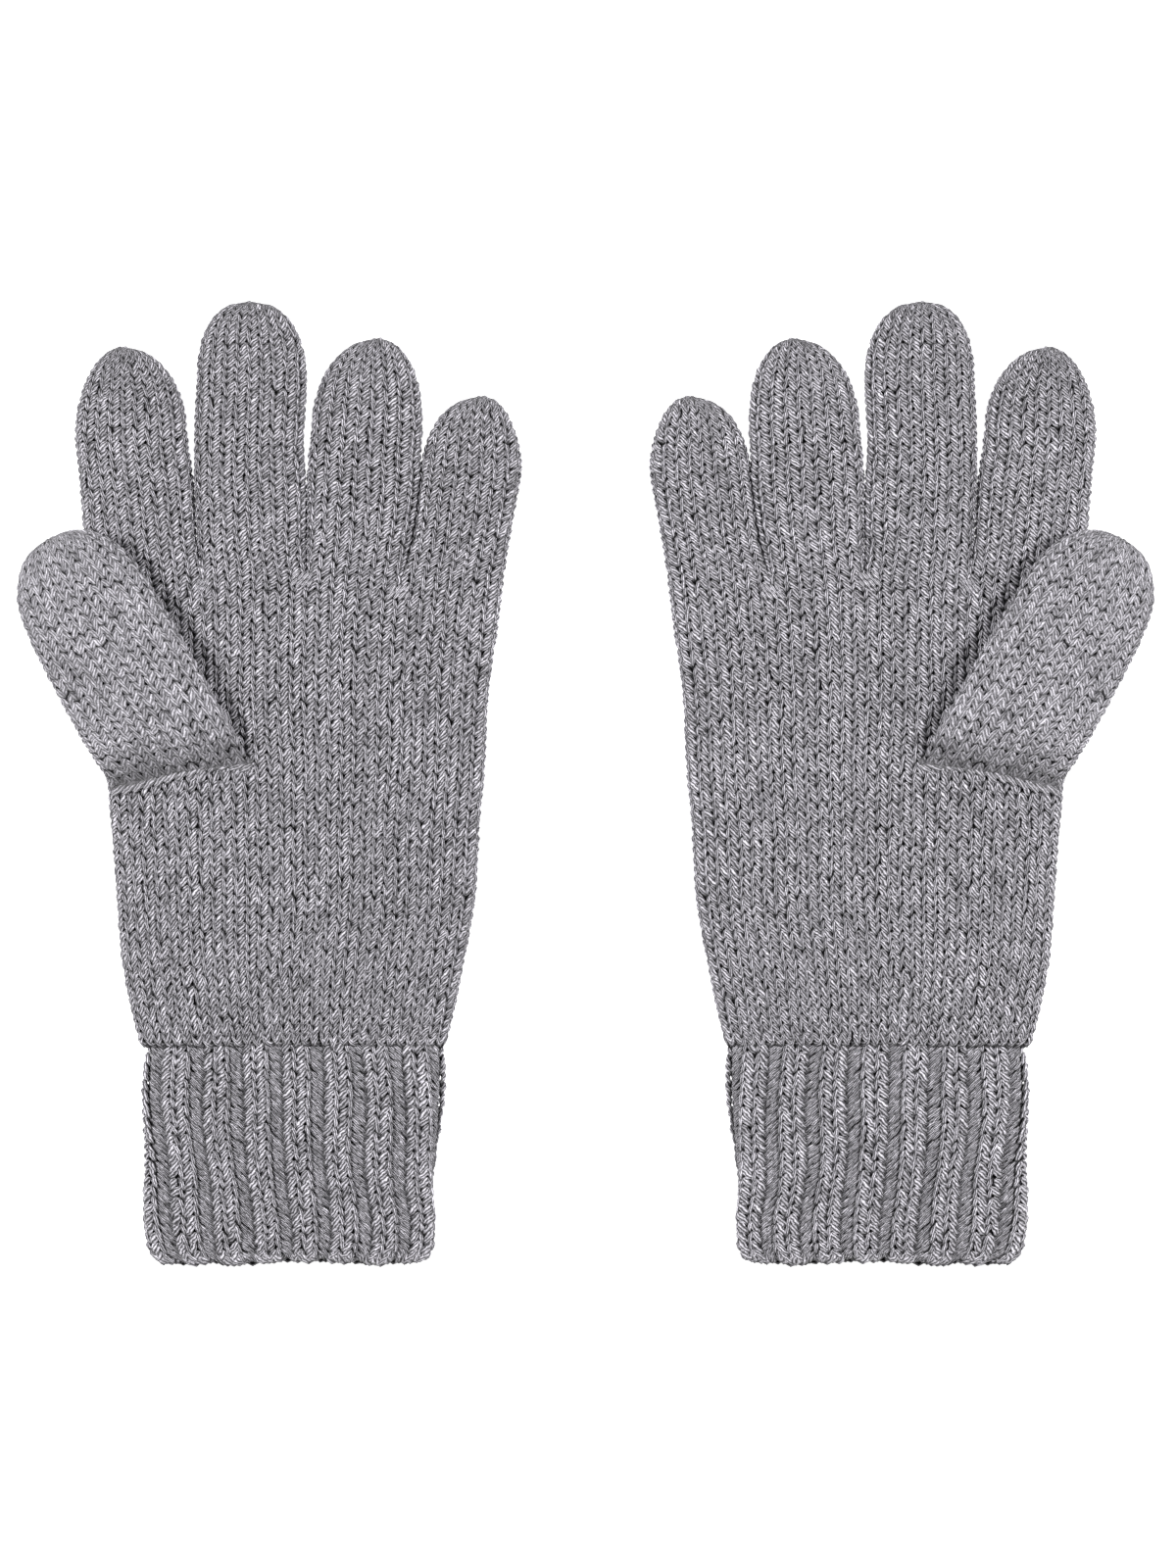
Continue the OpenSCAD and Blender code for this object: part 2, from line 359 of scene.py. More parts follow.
def finger_sleeve(name):
    """A finger's tube, from its root at the knuckles to its closed tip."""
    f = FINGERS[name]
    columns = 2 * (f["front"] + f["side"])
    around = columns * Sleeve.fine
    half = (f["right"](f["shoulder"]) - f["left"](f["shoulder"])) / 2
    places, shares, rows = digit_stations(
        KNUCKLE_Y + 0.4, f["shoulder"], f["tip_y"] - PROUD, f["square"], 0.55 * half, FINGER_ROW)
    rings = []
    for y, share in zip(places, shares):
        # fingers press together up to where their tips begin to round
        pressed = PROUD - 0.55 * (1 - smooth((y - 198) / 12))
        left = f["left"](y) + (HAND_EDGE if f.get("outer") == "left" else pressed)
        right = f["right"](y) - (HAND_EDGE if f.get("outer") == "right" else pressed)
        middle = (left + right) / 2
        middle = f["tip_x"] + (middle - f["tip_x"]) * share ** 0.5 if share < 1 else middle
        half = (right - left) / 2 * share
        thick = (GLOVE_T - 2 * PROUD - 0.6) / 2 * tip_thickness(share)
        centre = GLOVE_T / 2 - 0.1
        tube = flat_ring(middle - half, middle + half, centre - thick, centre + thick, FINGER_SQUARE, around)
        weight = smooth((y - KNUCKLE_Y) / ROOT_LENGTH)
        if weight < 1:
            tube = tube * weight + root_ring(f, y, columns, around) * (1 - weight)
        rings.append(np.stack([tube[:, 0], np.full(around, y), tube[:, 1]], axis=1))
    rings = dress(np.array(rings), 11)
    for x, y, wide, deep in f.get("dimples", ()):
        away = ((rings[..., 0] - x) ** 2 + (rings[..., 1] - y) ** 2) / wide ** 2
        rings[..., 2] -= deep * np.exp(-away) * smooth((rings[..., 2] - GLOVE_T / 2) / 2)
    return Sleeve(rings, columns, rows, offset=-SIDE_COLUMN if f["side"] == 1 else 0)


CUFF_COLUMNS = 60
CUFF_ROW = 2.4
CUFF_TOP = 59.0
# Where the first row starts, above the loops that roll round the edge of the mouth
MOUTH_Y = 1.9
RIB_DEPTH = 0.95
# Rows that have stitches on the inside of the mouth too
INSIDE_ROWS = 5
# Share of each rib that its two raised plain columns take, and where the first rib starts
RIB_RAISED = 0.66
RIB_START = 1.6
# How many columns the ribs turn round the cuff by its mouth
RIB_TURN = 1.8
cuff_left = curve((0, -33.6), (3, -36.4), (8, -37.7), (30, -38.2), (59, -38.4))
cuff_right = curve((0, 31.6), (3, 34.6), (8, 36.1), (25, 37.2), (45, 38.3), (59, 39.0))


def rib_wave(column):
    """1 along the middle of a raised pair of plain columns, -1 along the purl valley beside it."""
    return np.cos((column - 1) * math.pi / 2)


def rib_place(column):
    """Place of a column round the cuff: plain columns spread out, purl ones draw together."""
    rib, part = np.divmod(column, 4)
    wide, narrow = 2 * RIB_RAISED, 2 - 2 * RIB_RAISED
    return 4 * rib + np.where(part < 2, part * wide, 2 * wide + (part - 2) * narrow) + RIB_START


def cuff_depth(row, rows):
    """How far the ribs stand out at a row: less at the mouth, hardly at all under the hem."""
    return RIB_DEPTH * (1 - 0.85 * smooth((row / rows - 0.88) / 0.1)) * (0.8 + 0.2 * smooth(row / 3))


def cuff_sleeve():
    """The cuff's tube, from its mouth to under the hem of the hand."""
    rows = int(round(CUFF_TOP / CUFF_ROW))
    around = CUFF_COLUMNS * Sleeve.fine
    column = np.arange(around) / around * CUFF_COLUMNS
    rings = []
    for y in np.linspace(MOUTH_Y, CUFF_TOP, 2 * rows + 1):
        sink = 1.5 + 1.0 * (1 - smooth(y / 9)) + 0.9 * smooth((y - 52) / 4)
        left, right = cuff_left(y) + PROUD + 0.5, cuff_right(y) - PROUD - 0.5
        ring = flat_ring(left, right, PROUD - 0.4 + sink, GLOVE_T - PROUD - sink, CUFF_SQUARE, around)
        turn = RIB_TURN * (1 - y / CUFF_TOP) ** 1.2
        turned = ring_at(ring, (rib_place(column) + turn) / CUFF_COLUMNS)
        scallop = 0.8 * (0.5 - 0.5 * rib_wave(column)) ** 2 * (1 - smooth(y / 7))
        rings.append(np.stack([turned[:, 0], y + scallop, turned[:, 1]], axis=1))
    rings = np.array(rings)
    rings[..., 0] += unevenness(rings, 51, 30, 0.5)
    rings[..., 1] += unevenness(rings, 52, 24, 0.5)
    return Sleeve(rings, CUFF_COLUMNS, rows, 2.75)


# The thumb, drawn along Y from the middle of its base crease, then leaned over the palm
THUMB_LEAN = math.radians(29)
CREASE = np.array([-28.5, 125.25])
CREASE_SKEW = math.radians(29 - 9.8)
THUMB_COLUMNS = 25
THUMB_ROW = 2.42
THUMB_LEN = 69.2
THUMB_SHOULDER = 46.5
THUMB_JOINT = 36
# Share of the thumb's rows that its lower half takes
THUMB_SPLIT = 0.316
thumb_left = curve((0, -17.8), (28, -18.1), (40, -17.8), (50, -17.4))
thumb_right = curve((0, 17.8), (20, 17.6), (34, 17.3), (50, 16.9))


def lean(points):
    """Turns points from the thumb's own axis onto the palm."""
    c, s = math.cos(THUMB_LEAN), math.sin(THUMB_LEAN)
    x = CREASE[0] + c * points[..., 0] - s * points[..., 1]
    y = CREASE[1] + s * points[..., 0] + c * points[..., 1]
    return np.stack([x, y, points[..., 2]], axis=-1)


def thumb_sleeve():
    """The thumb's tube, from its base crease in the palm to its closed tip."""
    around = THUMB_COLUMNS * Sleeve.fine
    places, shares, rows = digit_stations(0, THUMB_SHOULDER, THUMB_LEN - PROUD, 2.2, 9, THUMB_ROW)
    rings = []
    for y, share in zip(places, shares):
        left, right = thumb_left(y) + PROUD, thumb_right(y) - PROUD
        middle, half = (left + right) / 2, (right - left) / 2 * share
        rise = math.sin(math.pi / 2 * min(y / 13, 1)) ** 0.85
        low = PALM_TOP - 0.9 + (THUMB_LOW + PROUD - 0.3 - PALM_TOP + 0.9) * smooth(y / 8)
        full = THUMB_HIGH - PROUD - 0.2
        tip = tip_thickness(share)
        high = PALM_TOP - 0.3 + (low + (full - low) * tip - PALM_TOP + 0.3) * rise
        ring = flat_ring(middle - half, middle + half, low, high, THUMB_SQUARE, around)
        # the first rows follow the base crease, which slopes less than the thumb leans
        slope = math.tan(-CREASE_SKEW) * (1 - smooth(y / 26))
        rings.append(np.stack([ring[:, 0], y + slope * ring[:, 0], ring[:, 1]], axis=1))
    rings = dress(np.array(rings), 31)
    return Sleeve(lean(rings), THUMB_COLUMNS, rows, 3.2)


# ---- Yarn ----


def yarn_length(sides, steps):
    """A straight length of yarn with narrowed closed ends, modelled once and laid along each leg of
    each stitch. Returns its points, the corners of each face and each corner's place on the yarn."""
    bpy.ops.object.select_all(action="DESELECT")
    bpy.ops.mesh.primitive_circle_add(vertices=sides, radius=1, fill_type="NGON")
    piece = bpy.context.object
    bpy.ops.object.mode_set(mode="EDIT")
    bpy.ops.mesh.select_all(action="SELECT")
    bpy.ops.transform.resize(value=(0.5, 0.5, 1))
    for step in range(steps):
        bpy.ops.mesh.extrude_region_move(TRANSFORM_OT_translate={"value": (0, 0, 1 / steps)})
        if step == 0:
            bpy.ops.transform.resize(value=(2, 2, 1))
        if step == steps - 1:
            bpy.ops.transform.resize(value=(0.5, 0.5, 1))
    bpy.ops.mesh.select_all(action="SELECT")
    bpy.ops.mesh.normals_make_consistent(inside=False)
    bpy.ops.object.mode_set(mode="OBJECT")
    mesh = piece.data
    points = np.array([v.co for v in mesh.vertices])
    # sorted, because the operators leave the faces in a different order on each run
    faces = sorted(list(face.vertices) for face in mesh.polygons)
    places = []
    for corners in faces:
        turn = np.arctan2(points[corners, 1], points[corners, 0]) / (2 * math.pi)
        if np.ptp(turn) > 0.5:
            turn = np.where(turn < 0, turn + 1, turn)
        places.append(np.stack([turn, points[corners, 2]], axis=1))
    bpy.data.objects.remove(piece)
    return points, faces, places


class Knit:
    """Gathers the meshes of many lengths of yarn, to make one piece."""

    def __init__(self):
        self.points, self.corners, self.sizes, self.places, self.shades = [], [], [], [], []
        self.count = 0

    def add(self, points, faces, places, shades):
        """points (copies, n, 3), one copy's faces, places on the yarn and each point's lightness, which
        holds its random tone and its painted shade.
        """
        copies, n = points.shape[:2]
        offsets = self.count + np.arange(copies) * n
        flat = np.concatenate([np.array(f) for f in faces])
        self.points.append(points.reshape(-1, 3))
        self.corners.append((flat[None, :] + offsets[:, None]).ravel())
        self.sizes.append(np.tile([len(f) for f in faces], copies))
        self.places.append(np.tile(np.concatenate(places), (copies, 1)))
        self.shades.append(np.broadcast_to(shades, (copies, n)).ravel())
        self.count += copies * n

    def make(self, name, mirrored):
        """One mesh of everything gathered, in the frame, for the left or the right glove."""
        points = np.concatenate(self.points) * MM + ORIGIN
        corners = np.concatenate(self.corners)
        sizes = np.concatenate(self.sizes)
        places = np.concatenate(self.places)
        starts = np.concatenate([[0], np.cumsum(sizes)[:-1]])
        if mirrored:
            points[:, 0] *= -1
            # a mirrored face keeps its outer side when its corners run the other way
            within = np.arange(len(corners)) - np.repeat(starts, sizes)
            turned = np.repeat(starts + sizes - 1, sizes) - within
            corners, places = corners[turned], places[turned]
        mesh = bpy.data.meshes.new(name)
        mesh.vertices.add(len(points))
        mesh.vertices.foreach_set("co", points.ravel())
        mesh.loops.add(len(corners))
        mesh.loops.foreach_set("vertex_index", corners.astype(np.int32))
        mesh.polygons.add(len(sizes))
        mesh.polygons.foreach_set("loop_start", starts.astype(np.int32))
        mesh.polygons.foreach_set("use_smooth", np.ones(len(sizes), bool))
        mesh.update(calc_edges=True)
        layer = mesh.uv_layers.new(name="yarn")
        layer.data.foreach_set("uv", places.ravel())
        # lightness: each stitch's random tone times the painted shade of depth, gaps and creases
        shade = mesh.attributes.new("lightness", "FLOAT", "POINT")
        shade.data.foreach_set("value", np.concatenate(self.shades).astype(np.float32))
        mesh.validate()
        piece = bpy.data.objects.new(name, mesh)
        bpy.context.scene.collection.objects.link(piece)
        return piece


YARN = yarn_length(sides=5, steps=4)

# Height in the fabric at which its yarn is painted in full shade
DEEP = -0.75


def painted_depth_shade(height):
    """Painted shade by height in the fabric: how light yarn is painted there, dark deep down between the
    stitches where the shade falls.
    """
    return 0.06 + 0.94 * smooth((height - DEEP) / 1.2)


def lay_yarn(knit, sleeve, path, half_width, half_thick, cells, chance, lift=0.0, shade=0.0):
    """Lays one length of yarn in each cell (column, row) along a path, given as a function of the
    share of its length that returns the place in the cell and the height. lift raises the yarn and
    shade adds painted light or shade to it, all over or cell by cell. The yarn is also painted darker
    the deeper it lies, as the shade down in the fabric."""
    points, faces, places = YARN
    t = points[:, 2]
    x, y, h = path(t)
    ahead = [a - b for a, b in zip(path(t + 0.01), path(t - 0.01))]
    tangent = np.stack([ahead[0] * WALE, ahead[1] * ROW])
    tangent /= np.maximum(np.linalg.norm(tangent, axis=0), 1e-6)
    count = len(cells)
    loose = chance.normal(0, 1, (count, 4))
    size = 1 + 0.1 * loose[:, 3:4]
    x = x - points[:, 0] * tangent[1] * half_width / WALE
    y = y + points[:, 0] * tangent[0] * half_width / ROW
    ends = 0.1 * chance.normal(size=(count, 2))
    column = cells[:, 0:1] + sleeve.offset + x[None, :] + 0.04 * loose[:, 0:1] + ends[:, 0:1] * t * 0.5
    row = cells[:, 1:2] + y[None, :] + 0.07 * loose[:, 1:2] + ends[:, 1:2] * (1 - t)
    level = h[None, :] + points[:, 1][None, :] * half_thick * size
    height = level + 0.06 * loose[:, 2:3] + np.reshape(lift, (-1, 1))
    each = np.clip(0.88 + 0.125 * chance.normal(size=(count, 1)) + np.reshape(shade, (-1, 1)), 0.3, 1.3)
    # each cell's random tone and painted light or shade, times the painted shade by depth
    knit.add(sleeve.place(column, row, height), faces, places, each * painted_depth_shade(level))


def stitch_height(t):
    """Height of a plain stitch's legs: deep at their lower ends, highest two thirds of the way up."""
    return -0.62 + 2.6 * t - 1.95 * t * t


def wide_leg(t):
    """The leg of a plain stitch that leans across most of its column."""
    return 0.03 + 0.61 * t, -0.30 + 1.34 * t, stitch_height(t)


def steep_leg(t):
    """The steeper, narrower leg of a plain stitch."""
    return 1.0 - 0.30 * t, -0.30 + 1.34 * t, stitch_height(t) - 0.12


def brushed_left(t):
    """Left leg of the thumb's flatter, rounder stitch."""
    return 0.52 * t, -0.2 + 1.16 * t, 0.55 * stitch_height(t)


def brushed_right(t):
    """Right leg of the thumb's stitch."""
    return 1.0 - 0.46 * t, -0.2 + 1.16 * t, 0.55 * stitch_height(t) - 0.06


def purl_bump(t):
    """The bump of a purl stitch, lying aslant across its narrow column."""
    return -0.3 + 1.6 * t, 1.0 - 0.9 * t, 0.5 * np.sin(math.pi * t) - 0.2


def mouth_loop(t):
    """A loop round the edge of a mouth, from the outside of the fabric to the inside."""
    return -0.25 + 1.5 * t, 0.55 - 0.8 * np.sin(math.pi * t), 0.3 - 2.1 * t


def inside_bump(t):
    """A stitch seen from inside the glove."""
    return -0.1 + 1.2 * t, 0.4 + 0.4 * np.sin(math.pi * t), -1.55 - 0.45 * np.sin(math.pi * t)


def plain_stitches(knit, sleeve, cells, chance, lift=0.0):
    """Both legs of a plain stitch in each cell."""
    lay_yarn(knit, sleeve, wide_leg, 0.87, 0.62, cells, chance, lift)
    # the steep leg is painted a little lighter, as painted light on the leg that lies along the light
    lay_yarn(knit, sleeve, steep_leg, 0.57, 0.56, cells, chance, lift, 0.05)


def cells_of(columns, rows):
    """The cells of some columns and rows, row by row."""
    return np.array([(c, r) for r in rows for c in columns], float)


# Heights of the two faces of the inner layer, and how light it is painted: dark, as painted shade down
# between the stitches
BACKING_OUTER = -0.85
BACKING_INNER = -1.6
BACKING_SHADE_LIGHTNESS = 0.35


def backing(knit, sleeve, columns, rows, lift=None):
    """The closed inner layer of the fabric, which the legs of the stitches go down into."""
    full = len(columns) >= sleeve.columns
    c = np.linspace(columns[0], columns[0] + len(columns), 2 * len(columns) + 1)
    if full:
        c = c[:-1]
    r = np.linspace(rows[0], rows[0] + len(rows), len(rows) + 1)
    cc, rr = np.meshgrid(c, r)
    wave = 0 if lift is None else lift(cc, rr)
    skins = [sleeve.place(cc, rr, np.zeros_like(cc) + h + wave) for h in (BACKING_OUTER, BACKING_INNER)]
    n_r, n_c = cc.shape
    index = np.arange(n_r * n_c).reshape(n_r, n_c)
    base, across = index, np.roll(index, -1, axis=1)
    if not full:
        base, across = base[:, :-1], across[:, :-1]
    quads = np.stack([base[:-1], across[:-1], across[1:], base[1:]], axis=-1).reshape(-1, 4)
    second = n_r * n_c
    inside = quads[:, ::-1] + second
    low = np.stack([base[0] + second, across[0] + second, across[0], base[0]], axis=-1)
    high = np.stack([base[-1], across[-1], across[-1] + second, base[-1] + second], axis=-1)
    walls = [quads, inside, low, high]
    if not full:
        left, right = index[:, 0], index[:, -1]
        walls.append(np.stack([left[:-1], left[1:], left[1:] + second, left[:-1] + second], axis=-1))
        walls.append(np.stack([right[1:], right[:-1], right[:-1] + second, right[1:] + second], axis=-1))
    faces = list(np.concatenate(walls))
    points = np.concatenate([s.reshape(-1, 3) for s in skins])[None]
    places = [np.stack([np.full(4, 0.25), points[0, f, 1] / 4], axis=1) for f in faces]
    # the inner layer is painted dark, as the shade down between the stitches
    knit.add(points, faces, places, BACKING_SHADE_LIGHTNESS)


def sew(knit, line, count, half_width, half_thick, chance, slant=0.0, arch=0.3, lightness=1.0):
    """Sews short lengths of yarn end over end along a line of points, each a little aslant."""
    points, faces, places = YARN
    line = np.array(line, float)
    length = np.concatenate([[0], np.cumsum(np.linalg.norm(np.diff(line, axis=0), axis=1))])

    def on_line(share):
        return np.stack([np.interp(share * length[-1], length, line[:, k]) for k in range(3)], axis=-1)

    starts = on_line(np.arange(count) / count)
    ends = on_line(np.minimum((np.arange(count) + 1.35) / count, 1))
    along = ends - starts
    side = np.cross(along, [0, 0, 1.0])
    side /= np.linalg.norm(side, axis=1, keepdims=True)
    ends = ends - side * slant
    starts = starts + chance.normal(0, 0.08, starts.shape)
    t = points[:, 2][None, :, None]
    laid = starts[:, None] * (1 - t) + ends[:, None] * t
    laid = laid + side[:, None] * points[:, 0][None, :, None] * half_width
    laid[..., 2] += points[:, 1] * half_thick + arch * np.sin(math.pi * points[:, 2])
    knit.add(laid, faces, places, lightness)


# ---- Finishes ----


def new_material(name):
    """An empty material, its nodes and its links."""
    material = bpy.data.materials.new(name)
    material.use_nodes = True
    nodes = material.node_tree.nodes
    nodes.clear()
    return material, nodes, material.node_tree.links


# How many plies show as grooves round a yarn, and how far they turn along one stitch's leg
PLIES = 5.0
PLY_TWIST = -0.9


def yarn_material(name, colour, groove, contrast, relief):
    """Heather yarn of several plies: colour, how dark the shade painted into the grooves between plies
    is, how much the fibres vary and how far the plies stand out."""
    material, nodes, links = new_material(name)

    def node(kind, **settings):
        made = nodes.new(kind)
        for key, value in settings.items():
            setattr(made, key, value)
        return made

    def maths(operation, *values):
        made = node("ShaderNodeMath", operation=operation)
        for socket, value in zip(made.inputs, values):
            if isinstance(value, (int, float)):
                socket.default_value = value
            else:
                links.new(value, socket)
        return made.outputs[0]

    coordinates = node("ShaderNodeTexCoord")

    def noise(scale, detail, roughness=0.5):
        made = node("ShaderNodeTexNoise")
        made.inputs["Scale"].default_value = scale
        made.inputs["Detail"].default_value = detail
        made.inputs["Roughness"].default_value = roughness
        links.new(coordinates.outputs["Object"], made.inputs["Vector"])
        return made.outputs["Fac"]

    uv = node("ShaderNodeUVMap", uv_map="yarn")
    split = node("ShaderNodeSeparateXYZ")
    links.new(uv.outputs[0], split.inputs[0])
    around, along = split.outputs[:2]

    # the plies: rounded ridges that run along the yarn and turn a little round it
    twist = maths("ADD", maths("MULTIPLY", around, PLIES), maths("MULTIPLY", along, PLY_TWIST))
    phase = maths("ADD", twist, maths("MULTIPLY", noise(700, 2), 1.3))
    wave = maths("SINE", maths("MULTIPLY", phase, 2 * math.pi))
    ply = maths("POWER", maths("MULTIPLY_ADD", wave, 0.5, 0.5), 1.25)

    # the colour: painted shade in the grooves between plies, the heather of single fibres and slow patches,
    # and painted shade by how deep the yarn lies
    fibre = noise(1100, 4, 0.7)
    ply_groove_shade = maths("MULTIPLY_ADD", ply, 1 - groove, groove)
    speckle = maths("MULTIPLY_ADD", fibre, contrast, 1 - contrast / 2)
    tone = maths("MULTIPLY_ADD", noise(55, 3), 0.3, 0.85)
    # lightness: random tone and painted shade, from the pieces
    lightness = node("ShaderNodeAttribute", attribute_name="lightness").outputs["Fac"]
    value = maths("MULTIPLY", maths("MULTIPLY", ply_groove_shade, speckle), maths("MULTIPLY", tone, lightness))
    tint = node("ShaderNodeMix", data_type="RGBA", blend_type="MULTIPLY")
    tint.inputs["Factor"].default_value = 1
    tint.inputs["A"].default_value = (*colour, 1)
    links.new(value, tint.inputs["B"])

    bump = node("ShaderNodeBump")
    bump.inputs["Strength"].default_value = relief
    bump.inputs["Distance"].default_value = 0.25 * MM
    links.new(maths("ADD", ply, maths("MULTIPLY", fibre, 0.7)), bump.inputs["Height"])

    surface = node("ShaderNodeBsdfPrincipled")
    surface.inputs["Roughness"].default_value = 0.92
    surface.inputs["Specular IOR Level"].default_value = 0.2
    surface.inputs["Sheen Weight"].default_value = 0.25
    surface.inputs["Sheen Roughness"].default_value = 0.5
    links.new(tint.outputs["Result"], surface.inputs["Base Color"])
    links.new(bump.outputs[0], surface.inputs["Normal"])
    output = node("ShaderNodeOutputMaterial")
    links.new(surface.outputs[0], output.inputs[0])
    return material


# Each material slot's yarn: colour, painted groove shade, contrast and relief
FINISHES = {
    "plain_knit": yarn_material("heather_plain_knit", (0.86, 0.833, 0.905), 0.06, 2.8, 1.0),
    "rib_knit": yarn_material("heather_rib_knit", (0.91, 0.882, 0.957), 0.06, 2.8, 1.0),
    "thumb_knit": yarn_material("brushed_thumb_knit", (0.765, 0.741, 0.804), 0.22, 2.4, 0.9),
    "join_yarn": yarn_material("drawn_join_yarn", (0.85, 0.825, 0.89), 0.2, 2.6, 0.9),
}

# ---- Pieces ----


def finish_piece(piece, slot, nodes):
    """Gives a piece its yarn and hides the CAD nodes that it stands for."""
    piece.data.materials.append(FINISHES[slot])
    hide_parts(*nodes)
    return piece


def glove_point(side, x, y, z):
    """A place on a glove, in the frame's metres."""
    point = np.array([x, y, z]) * MM + ORIGIN
    if side == "right":
        point[0] = -point[0]
    return Vector(point)


hand = hand_sleeve()
cuff = cuff_sleeve()
thumb = thumb_sleeve()
fingers = {name: finger_sleeve(name) for name in FINGERS}


def knit_hand():
    """The hand, as two pieces: its palm side and its back."""
    for part, first in (("palm", 0), ("back", PALM_COLUMNS)):
        knit = Knit()
        chance = np.random.default_rng(101 + first)
        columns = range(first, first + PALM_COLUMNS)
        backing(knit, hand, columns, range(hand.rows))
        plain_stitches(knit, hand, cells_of(columns, range(hand.rows)), chance)
        lay_yarn(knit, hand, mouth_loop, 0.75, 0.6, cells_of(columns, [0]), chance)
        for side in ("left", "right"):
            piece = knit.make(f"{side}_hand_{part}", side == "right")
            finish_piece(piece, "plain_knit", [f"{side}_hand"] if part == "palm" else [])
            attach(piece, f"{side}_palm")


def knit_cuff():
    """The two by two rib: pairs of raised plain columns, pairs of purl columns sunk between them, and
    loops that roll round the edge of the mouth."""
    sleeve = cuff
    knit = Knit()
    chance = np.random.default_rng(301)

    def rib_lift(column, row):
        return cuff_depth(row, sleeve.rows) * rib_wave(column)

    backing(knit, sleeve, range(CUFF_COLUMNS), range(sleeve.rows), lift=rib_lift)
    for column in range(CUFF_COLUMNS):
        cells = cells_of([column], range(sleeve.rows))
        lift = rib_lift(column + 0.5, cells[:, 1] + 0.5)
        if column % 4 < 2:
            plain_stitches(knit, sleeve, cells, chance, lift)
        else:
            # purl bumps are painted darker, the sunk second one most, as painted shade down in the rib's
            # valleys
            lay_yarn(knit, sleeve, purl_bump, 0.62, 0.5, cells, chance, lift, -0.08)
            lay_yarn(knit, sleeve, purl_bump, 0.55, 0.5, cells + [0.1, 0.5], chance, lift - 0.15, -0.18)
        lay_yarn(knit, sleeve, mouth_loop, 1.0, 0.75, cells[:1], chance, lift[:1])
        lay_yarn(knit, sleeve, mouth_loop, 1.0, 0.75, cells[:1] + [0.5, 0.12], chance, lift[:1])
        seen = cells[:INSIDE_ROWS]
        # the stitches seen inside the mouth are painted darker, as painted shade inside the glove
        lay_yarn(knit, sleeve, inside_bump, 0.7, 0.5, seen, chance, lift[:INSIDE_ROWS], -0.1)
    for side in ("left", "right"):
        piece = knit.make(f"{side}_cuff_rib", side == "right")
        finish_piece(piece, "rib_knit", [f"{side}_cuff"])
        glove_point(side, 0, 60, 0)
        glove_point(side, 0, 46, 0)
        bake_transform(piece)


def folds(name):
    """A finger's folds above the cuff's mouth: its first fold and its middle joint."""
    return cad(f"{name}_base", 0, 1) - 0.4, cad(f"{name}_base", 1, 1) + 0.4


def lower_half(name, side, low_fold):
    """The CAD nodes of a finger's lower half, and two places below and above its first fold."""
    nodes = [f"{side}_{name}_base"]
    if name != "index":
        return nodes, low_fold, low_fold + 12
    # the index finger's root lies under the thumb and stays with the hand
    return nodes + [f"{side}_index_root"], low_fold - 4, low_fold + 5


def knit_finger(name):
    """A finger, as a lower half from its root at the knuckles and an upper half to its tip, split between
    its knuckle and its joint.
    """
    sleeve = fingers[name]
    low_fold, high_fold = folds(name)
    ys = sleeve.points[::2, 0, 1]
    split = int(np.argmin(np.abs(ys - (low_fold + high_fold) / 2 - (0 if name == "index" else 3))))
    columns = range(sleeve.columns)
    for part, rows in (("lower", range(0, split)), ("upper", range(split, sleeve.rows))):
        knit = Knit()
        chance = np.random.default_rng([401, *name.encode(), len(part), rows[0]])
        backing(knit, sleeve, columns, rows)
        plain_stitches(knit, sleeve, cells_of(columns, rows), chance)
        for side in ("left", "right"):
            piece = knit.make(f"{side}_{name}_{part}_half", side == "right")
            if part == "lower":
                nodes, start, end = lower_half(name, side, low_fold)
            else:
                nodes, start, end = [f"{side}_{name}_tip"], high_fold - 5, high_fold + 6
            finish_piece(piece, "plain_knit", nodes)
            glove_point(side, 0, start, 0)
            glove_point(side, 0, end, 0)
            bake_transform(piece)


def knit_thumb():
    """The thumb, as a lower half from its root and an upper half up to its tip."""
    sleeve = thumb
    split = int(round(sleeve.rows * THUMB_SPLIT))
    columns = range(THUMB_COLUMNS)
    for part, rows in (("lower", range(0, split)), ("upper", range(split, sleeve.rows))):
        knit = Knit()
        chance = np.random.default_rng([501, len(part), rows[0]])
        backing(knit, sleeve, columns, rows)
        cells = cells_of(columns, rows)
        # the first rows lie in the shade of the crease
        shade = -0.4 * np.exp(-(cells[:, 1] / 2.2) ** 2)
        lay_yarn(knit, sleeve, brushed_left, 0.92, 0.56, cells, chance, 0, shade)
        lay_yarn(knit, sleeve, brushed_right, 0.84, 0.54, cells, chance, 0, shade)
        for side in ("left", "right"):
            piece = knit.make(f"{side}_thumb_{part}_half", side == "right")
            if part == "lower":
                nodes, bodies = [f"{side}_thumb_base"], (f"{side}_palm", f"{side}_thumb_lower")
                start, end = -1, 10
            else:
                nodes, bodies = [f"{side}_thumb_tip"], (f"{side}_thumb_lower", f"{side}_thumb_upper")
                start, end = THUMB_JOINT - 6, THUMB_JOINT + 6
            finish_piece(piece, "thumb_knit", nodes)
            ends = [lean(np.array([0, y, THUMB_LOW])) for y in (start, end)]
            glove_point(side, *ends[0])
            glove_point(side, *ends[1])
            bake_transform(piece)


# Where the small raised stitches between two fingers start and end
CROTCHES = {
    "index_middle": [(-25.4, 171.6), (-21.6, 171.2)],
    "middle_ring": [(-0.9, 173.2), (4.6, 172.6)],
    "ring_little": [(23.8, 169.9), (29.4, 169.6)],
}


